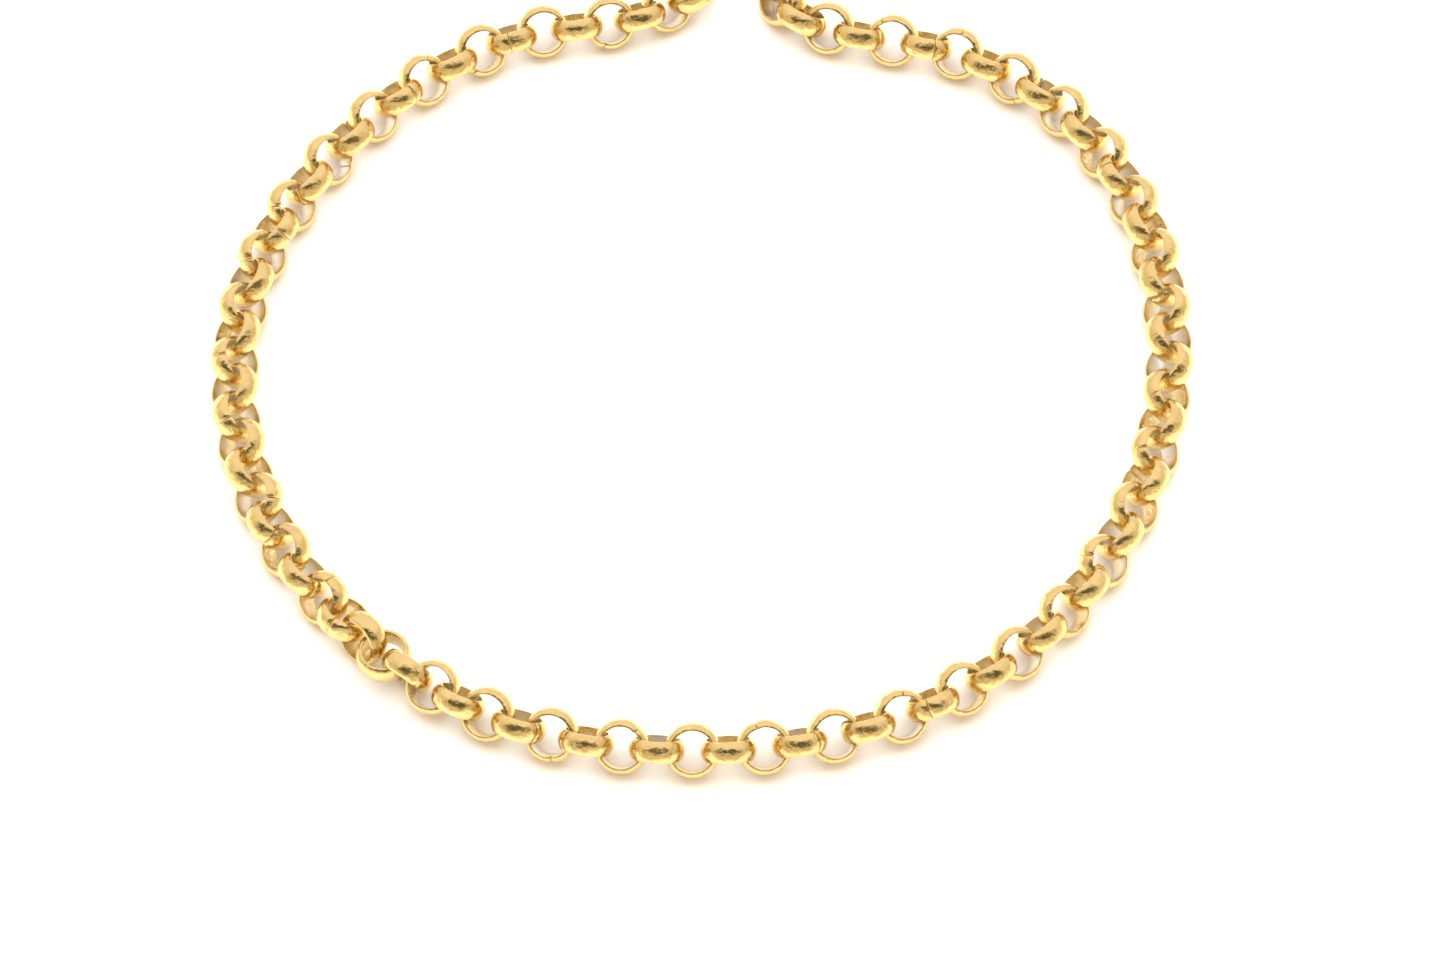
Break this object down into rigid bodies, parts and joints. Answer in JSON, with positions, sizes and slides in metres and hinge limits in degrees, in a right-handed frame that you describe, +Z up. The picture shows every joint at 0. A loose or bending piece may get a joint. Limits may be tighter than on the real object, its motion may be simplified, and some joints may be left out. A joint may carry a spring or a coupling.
{
  "type": "chain necklace",
  "caption": "Round-link belcher chain necklace laid open in a loop, with a ring at each end and a sprung lobster clasp.",
  "frame": {"origin": "on the table, at the middle of the laid necklace's bounding box", "axes": "+Z up, +Y from the front of the loop towards the clasp, +X to the right"},
  "size_m": [0.1437, 0.1665, 0.0079],
  "materials": {
    "gold_links": "polished gold plate",
    "gold_clasp": "polished gold plate",
    "spring_steel": "drawn wire"
  },
  "bodies": {
    "link_pair_01": {"link_pair_01": "gold_links"},
    "link_pair_02": {"link_pair_02": "gold_links"},
    "link_pair_03": {"link_pair_03": "gold_links"},
    "link_pair_04": {"link_pair_04": "gold_links"},
    "link_pair_05": {"link_pair_05": "gold_links"},
    "link_pair_06": {"link_pair_06": "gold_links"},
    "link_pair_07": {"link_pair_07": "gold_links"},
    "link_pair_08": {"link_pair_08": "gold_links"},
    "link_pair_09": {"link_pair_09": "gold_links"},
    "link_pair_10": {"link_pair_10": "gold_links"},
    "link_pair_11": {"link_pair_11": "gold_links"},
    "link_pair_12": {"link_pair_12": "gold_links"},
    "link_pair_13": {"link_pair_13": "gold_links"},
    "link_pair_14": {"link_pair_14": "gold_links"},
    "link_pair_15": {"link_pair_15": "gold_links"},
    "link_pair_16": {"link_pair_16": "gold_links"},
    "link_pair_17": {"link_pair_17": "gold_links"},
    "link_pair_18": {"link_pair_18": "gold_links"},
    "link_pair_19": {"link_pair_19": "gold_links"},
    "link_pair_20": {"link_pair_20": "gold_links"},
    "link_pair_21": {"link_pair_21": "gold_links"},
    "link_pair_22": {"link_pair_22": "gold_links"},
    "link_pair_23": {"link_pair_23": "gold_links"},
    "link_pair_24": {"link_pair_24": "gold_links"},
    "link_pair_25": {"link_pair_25": "gold_links"},
    "link_pair_26": {"link_pair_26": "gold_links"},
    "link_pair_27": {"link_pair_27": "gold_links"},
    "link_pair_28": {"link_pair_28": "gold_links"},
    "link_pair_29": {"link_pair_29": "gold_links"},
    "link_pair_30": {"link_pair_30": "gold_links"},
    "link_pair_31": {"link_pair_31": "gold_links"},
    "link_pair_32": {"link_pair_32": "gold_links"},
    "link_pair_33": {"link_pair_33": "gold_links"},
    "link_pair_34": {"link_pair_34": "gold_links"},
    "link_pair_35": {"link_pair_35": "gold_links"},
    "link_pair_36": {"link_pair_36": "gold_links"},
    "link_pair_37": {"link_pair_37": "gold_links"},
    "link_pair_38": {"link_pair_38": "gold_links"},
    "link_pair_39": {"link_pair_39": "gold_links"},
    "link_pair_40": {"link_pair_40": "gold_links"},
    "link_pair_41": {"link_pair_41": "gold_links"},
    "link_pair_42": {"link_pair_42": "gold_links"},
    "link_pair_43": {"link_pair_43": "gold_links"},
    "link_pair_44": {"link_pair_44": "gold_links"},
    "jump_ring": {"jump_ring": "gold_clasp"},
    "end_ring": {"end_ring": "gold_clasp"},
    "clasp": {"clasp_body": "gold_clasp", "clasp_rivet": "gold_clasp", "clasp_spring": "spring_steel"},
    "clasp_lever": {"clasp_lever": "gold_clasp"}
  },
  "joints": [
    {"name": "link_pair_22_bend", "type": "hinge", "parent": "link_pair_23", "child": "link_pair_22", "pos_m": [-0.0063, -0.0795, 0.00362], "axis": [0.0516, 0.7643, 0.6428], "range_deg": [0, 24]},
    {"name": "link_pair_21_bend", "type": "hinge", "parent": "link_pair_22", "child": "link_pair_21", "pos_m": [-0.02124, -0.07708, 0.00358], "axis": [-0.1788, -0.6482, 0.7402], "range_deg": [0, 24]},
    {"name": "link_pair_20_bend", "type": "hinge", "parent": "link_pair_21", "child": "link_pair_20", "pos_m": [-0.0259, -0.0756, 0.00356], "axis": [0.2532, 0.6861, 0.682], "range_deg": [0, 24]},
    {"name": "link_pair_19_bend", "type": "hinge", "parent": "link_pair_20", "child": "link_pair_19", "pos_m": [-0.0382, -0.0694, 0.00375], "axis": [-0.2618, -0.4444, 0.8567], "range_deg": [0, 24]},
    {"name": "link_pair_18_bend", "type": "hinge", "parent": "link_pair_19", "child": "link_pair_18", "pos_m": [-0.0419, -0.0667, 0.00388], "axis": [0.5689, 0.7621, 0.309], "range_deg": [0, 24]},
    {"name": "link_pair_17_bend", "type": "hinge", "parent": "link_pair_18", "child": "link_pair_17", "pos_m": [-0.0512, -0.0579, 0.00365], "axis": [0.3753, 0.3533, 0.8569], "range_deg": [0, 24]},
    {"name": "link_pair_16_bend", "type": "hinge", "parent": "link_pair_17", "child": "link_pair_16", "pos_m": [-0.0542, -0.0544, 0.0036], "axis": [-0.6045, -0.4707, 0.6427], "range_deg": [0, 24]},
    {"name": "link_pair_15_bend", "type": "hinge", "parent": "link_pair_16", "child": "link_pair_15", "pos_m": [-0.06209, -0.04193, 0.0035], "axis": [0.6381, 0.3047, 0.7071], "range_deg": [0, 24]},
    {"name": "link_pair_14_bend", "type": "hinge", "parent": "link_pair_15", "child": "link_pair_14", "pos_m": [-0.064, -0.0375, 0.0035], "axis": [-0.6594, -0.2555, 0.7071], "range_deg": [0, 24]},
    {"name": "link_pair_13_bend", "type": "hinge", "parent": "link_pair_14", "child": "link_pair_13", "pos_m": [-0.0677, -0.02337, 0.0035], "axis": [0.6999, 0.1007, 0.7071], "range_deg": [0, 24]},
    {"name": "link_pair_12_bend", "type": "hinge", "parent": "link_pair_13", "child": "link_pair_12", "pos_m": [-0.0682, -0.0186, 0.0035], "axis": [-0.7056, -0.0456, 0.7071], "range_deg": [0, 24]},
    {"name": "link_pair_11_bend", "type": "hinge", "parent": "link_pair_12", "child": "link_pair_11", "pos_m": [-0.06743, -0.00435, 0.0035], "axis": [0.6963, -0.1234, 0.7071], "range_deg": [0, 24]},
    {"name": "link_pair_10_bend", "type": "hinge", "parent": "link_pair_11", "child": "link_pair_10", "pos_m": [-0.0664, 0.0003, 0.0035], "axis": [-0.6829, 0.1834, 0.7071], "range_deg": [0, 24]},
    {"name": "link_pair_09_bend", "type": "hinge", "parent": "link_pair_10", "child": "link_pair_09", "pos_m": [-0.06088, 0.01384, 0.0035], "axis": [0.6223, -0.3358, 0.7071], "range_deg": [0, 24]},
    {"name": "link_pair_08_bend", "type": "hinge", "parent": "link_pair_09", "child": "link_pair_08", "pos_m": [-0.0584, 0.0181, 0.0035], "axis": [-0.5998, 0.3745, 0.7071], "range_deg": [0, 24]},
    {"name": "link_pair_07_bend", "type": "hinge", "parent": "link_pair_08", "child": "link_pair_07", "pos_m": [-0.04919, 0.03011, 0.0035], "axis": [0.5125, -0.4871, 0.7071], "range_deg": [0, 24]},
    {"name": "link_pair_06_bend", "type": "hinge", "parent": "link_pair_07", "child": "link_pair_06", "pos_m": [-0.0456, 0.0336, 0.0035], "axis": [-0.4717, 0.5267, 0.7071], "range_deg": [0, 24]},
    {"name": "link_pair_05_bend", "type": "hinge", "parent": "link_pair_06", "child": "link_pair_05", "pos_m": [-0.03327, 0.04227, 0.0035], "axis": [0.3326, -0.624, 0.7071], "range_deg": [0, 24]},
    {"name": "link_pair_04_bend", "type": "hinge", "parent": "link_pair_05", "child": "link_pair_04", "pos_m": [-0.0288, 0.0444, 0.0035], "axis": [-0.2525, 0.6605, 0.7071], "range_deg": [0, 24]},
    {"name": "link_pair_03_bend", "type": "hinge", "parent": "link_pair_04", "child": "link_pair_03", "pos_m": [-0.01406, 0.04737, 0.0035], "axis": [0.1446, -0.6922, 0.7071], "range_deg": [0, 24]},
    {"name": "link_pair_02_bend", "type": "hinge", "parent": "link_pair_03", "child": "link_pair_02", "pos_m": [-0.0095, 0.0486, 0.0035], "axis": [-0.2447, 0.6635, 0.707], "range_deg": [0, 24]},
    {"name": "link_pair_01_bend", "type": "hinge", "parent": "link_pair_02", "child": "link_pair_01", "pos_m": [0, 0.0568, 0.00395], "axis": [0.9352, -0.3257, 0.139], "range_deg": [0, 24]},
    {"name": "link_pair_24_bend", "type": "hinge", "parent": "link_pair_23", "child": "link_pair_24", "pos_m": [0.00384, -0.07959, 0.00363], "axis": [0.0412, -0.7705, -0.6361], "range_deg": [0, 24]},
    {"name": "link_pair_25_bend", "type": "hinge", "parent": "link_pair_24", "child": "link_pair_25", "pos_m": [0.00893, -0.07916, 0.00364], "axis": [-0.0738, 0.6284, -0.7744], "range_deg": [0, 24]},
    {"name": "link_pair_26_bend", "type": "hinge", "parent": "link_pair_25", "child": "link_pair_26", "pos_m": [0.02363, -0.07586, 0.00364], "axis": [0.2473, -0.7368, -0.6293], "range_deg": [0, 24]},
    {"name": "link_pair_27_bend", "type": "hinge", "parent": "link_pair_26", "child": "link_pair_27", "pos_m": [0.02832, -0.0741, 0.00364], "axis": [-0.2442, 0.58, -0.7771], "range_deg": [0, 24]},
    {"name": "link_pair_28_bend", "type": "hinge", "parent": "link_pair_27", "child": "link_pair_28", "pos_m": [0.04116, -0.06678, 0.00363], "axis": [0.4579, -0.621, -0.6361], "range_deg": [0, 24]},
    {"name": "link_pair_29_bend", "type": "hinge", "parent": "link_pair_28", "child": "link_pair_29", "pos_m": [0.04502, -0.06369, 0.00363], "axis": [-0.4205, 0.4817, -0.7688], "range_deg": [0, 24]},
    {"name": "link_pair_30_bend", "type": "hinge", "parent": "link_pair_29", "child": "link_pair_30", "pos_m": [0.05497, -0.05252, 0.00359], "axis": [0.6128, -0.4305, -0.6626], "range_deg": [0, 24]},
    {"name": "link_pair_31_bend", "type": "hinge", "parent": "link_pair_30", "child": "link_pair_31", "pos_m": [0.05774, -0.04823, 0.00358], "axis": [-0.5777, 0.3441, -0.7402], "range_deg": [0, 24]},
    {"name": "link_pair_32_bend", "type": "hinge", "parent": "link_pair_31", "child": "link_pair_32", "pos_m": [0.06419, -0.03442, 0.00353], "axis": [0.6787, -0.2384, -0.6947], "range_deg": [0, 24]},
    {"name": "link_pair_33_bend", "type": "hinge", "parent": "link_pair_32", "child": "link_pair_33", "pos_m": [0.06572, -0.02952, 0.00351], "axis": [-0.6763, 0.1842, -0.7132], "range_deg": [0, 24]},
    {"name": "link_pair_34_bend", "type": "hinge", "parent": "link_pair_33", "child": "link_pair_34", "pos_m": [0.06823, -0.01461, 0.0035], "axis": [0.7056, -0.0459, -0.7071], "range_deg": [0, 24]},
    {"name": "link_pair_35_bend", "type": "hinge", "parent": "link_pair_34", "child": "link_pair_35", "pos_m": [0.06839, -0.00957, 0.0035], "axis": [-0.7071, -0.0022, -0.7071], "range_deg": [0, 24]},
    {"name": "link_pair_36_bend", "type": "hinge", "parent": "link_pair_35", "child": "link_pair_36", "pos_m": [0.06681, 0.00528, 0.0035], "axis": [0.6915, 0.1479, -0.7071], "range_deg": [0, 24]},
    {"name": "link_pair_37_bend", "type": "hinge", "parent": "link_pair_36", "child": "link_pair_37", "pos_m": [0.06559, 0.01009, 0.0035], "axis": [-0.6777, -0.2018, -0.7071], "range_deg": [0, 24]},
    {"name": "link_pair_38_bend", "type": "hinge", "parent": "link_pair_37", "child": "link_pair_38", "pos_m": [0.05972, 0.02344, 0.0035], "axis": [0.6062, 0.364, -0.7071], "range_deg": [0, 24]},
    {"name": "link_pair_39_bend", "type": "hinge", "parent": "link_pair_38", "child": "link_pair_39", "pos_m": [0.05704, 0.02748, 0.0035], "axis": [-0.5665, -0.4232, -0.7071], "range_deg": [0, 24]},
    {"name": "link_pair_40_bend", "type": "hinge", "parent": "link_pair_39", "child": "link_pair_40", "pos_m": [0.04673, 0.03713, 0.0035], "axis": [0.3925, 0.5882, -0.7071], "range_deg": [0, 24]},
    {"name": "link_pair_41_bend", "type": "hinge", "parent": "link_pair_40", "child": "link_pair_41", "pos_m": [0.04261, 0.0396, 0.0035], "axis": [-0.3369, -0.6217, -0.7071], "range_deg": [0, 24]},
    {"name": "link_pair_42_bend", "type": "hinge", "parent": "link_pair_41", "child": "link_pair_42", "pos_m": [0.02858, 0.04413, 0.0035], "axis": [0.1286, 0.6953, -0.7071], "range_deg": [0, 24]},
    {"name": "link_pair_43_bend", "type": "hinge", "parent": "link_pair_42", "child": "link_pair_43", "pos_m": [0.02358, 0.04504, 0.0035], "axis": [-0.163, -0.6881, -0.7071], "range_deg": [0, 24]},
    {"name": "link_pair_44_bend", "type": "hinge", "parent": "link_pair_43", "child": "link_pair_44", "pos_m": [0.0121, 0.0515, 0.0035], "axis": [0.6325, 0.3162, -0.7071], "range_deg": [0, 24]},
    {"name": "jump_ring_swing", "type": "hinge", "parent": "link_pair_01", "child": "jump_ring", "pos_m": [0.0011, 0.0613, 0.0033], "axis": [0.0175, 0.1142, 0.9933], "range_deg": [-20, 20]},
    {"name": "clasp_swing", "type": "hinge", "parent": "jump_ring", "child": "clasp", "pos_m": [0.0013, 0.0653, 0.00295], "axis": [-0.9988, 0.0499, 0], "range_deg": [-15, 15]},
    {"name": "end_ring_swing", "type": "hinge", "parent": "link_pair_44", "child": "end_ring", "pos_m": [0.0112, 0.0557, 0.0035], "axis": [0.7041, 0.081, 0.7054], "range_deg": [-20, 20]},
    {"name": "clasp_lever_open", "type": "hinge", "parent": "clasp", "child": "clasp_lever", "pos_m": [0.00361, 0.07334, 0.0022], "axis": [0, 0, 1], "range_deg": [0, 25], "stiffness_Nm_per_rad": 0.004, "springref_deg": -14.32}
  ]
}
